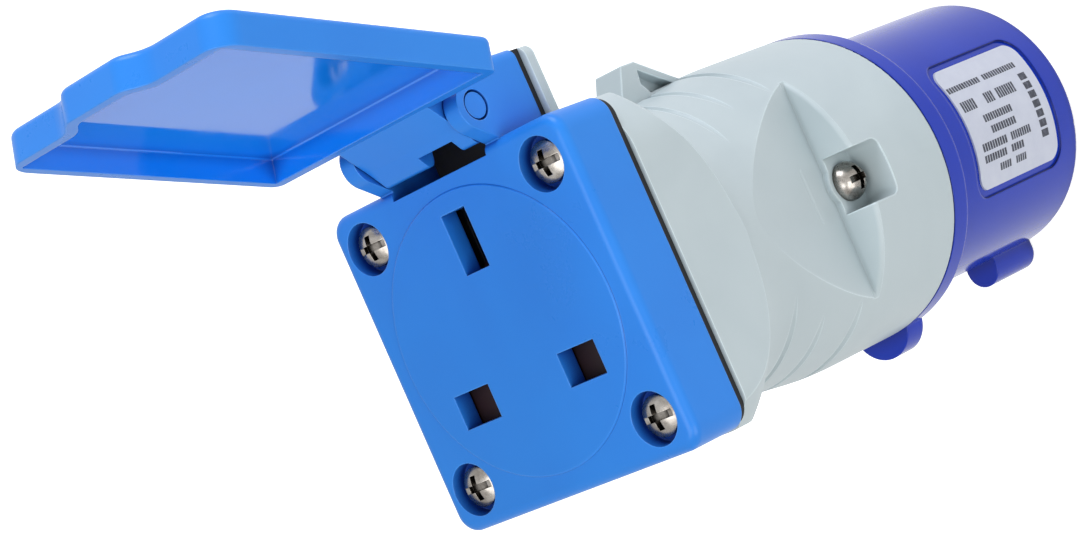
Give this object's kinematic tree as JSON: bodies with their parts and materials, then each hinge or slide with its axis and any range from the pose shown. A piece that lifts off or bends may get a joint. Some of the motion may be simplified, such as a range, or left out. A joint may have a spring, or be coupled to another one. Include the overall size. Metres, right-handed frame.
{
  "type": "power plug adapter",
  "caption": "Adapter with a square three-slot socket under a hinged lid on one end and a round shrouded pin plug on the other, joined by a waisted grip body.",
  "frame": {"origin": "on the plug's axis, in the plane of the shroud's open rim, on which the part stands", "axes": "+Z along the plug's axis to the socket face, +Y towards the lid's hinge and the earth slot, +X to the right of somebody who looks at the face with the hinge up"},
  "size_m": [0.0506, 0.0809, 0.1746],
  "materials": {
    "azure_plastic": "moulded azure blue plastic, slightly glossy",
    "violet_plastic": "smooth violet-blue plastic",
    "grey_plastic": "light grey plastic, fine satin grain",
    "black_rubber": "black seal rubber",
    "nickel_steel": "nickel plated steel",
    "spring_steel": "drawn spring wire",
    "brass": "machined brass",
    "shutter_plastic": "dark red-brown plastic",
    "black_plastic": "black moulded plastic",
    "label_foil": "silver label foil",
    "brown_wire": "brown wire insulation",
    "blue_wire": "blue wire insulation",
    "green_wire": "green wire insulation"
  },
  "bodies": {
    "base": {"socket_faceplate": "azure_plastic", "hinge_pin": "azure_plastic", "gasket": "black_rubber", "body_housing": "grey_plastic", "face_screws": "nickel_steel", "side_screws": "nickel_steel", "shutter_spring": "spring_steel", "socket_base": "black_plastic", "live_clip": "brass", "neutral_clip": "brass", "earth_clip": "brass", "clip_terminal_screws": "nickel_steel", "live_wire": "brown_wire", "neutral_wire": "blue_wire", "earth_wire": "green_wire", "pin_carrier": "black_plastic", "live_pin": "brass", "neutral_pin": "brass", "earth_pin": "brass", "pin_terminal_screws": "nickel_steel", "plug_shroud": "violet_plastic", "rating_label": "label_foil", "flange_seal": "black_rubber"},
    "lid": {"lid": "azure_plastic"},
    "shutter": {"shutter": "shutter_plastic"}
  },
  "joints": [
    {"name": "lid_hinge", "type": "hinge", "parent": "base", "child": "lid", "pos_m": [0, 0.0303, 0.1222], "axis": [1, 0, 0], "range_deg": [-17, 108]},
    {"name": "shutter_slide", "type": "slide", "parent": "base", "child": "shutter", "axis": [0, -1, 0], "range_m": [0, 0.006], "stiffness_N_per_m": 120, "springref_m": -0.003, "deforming": ["shutter_spring"]}
  ]
}
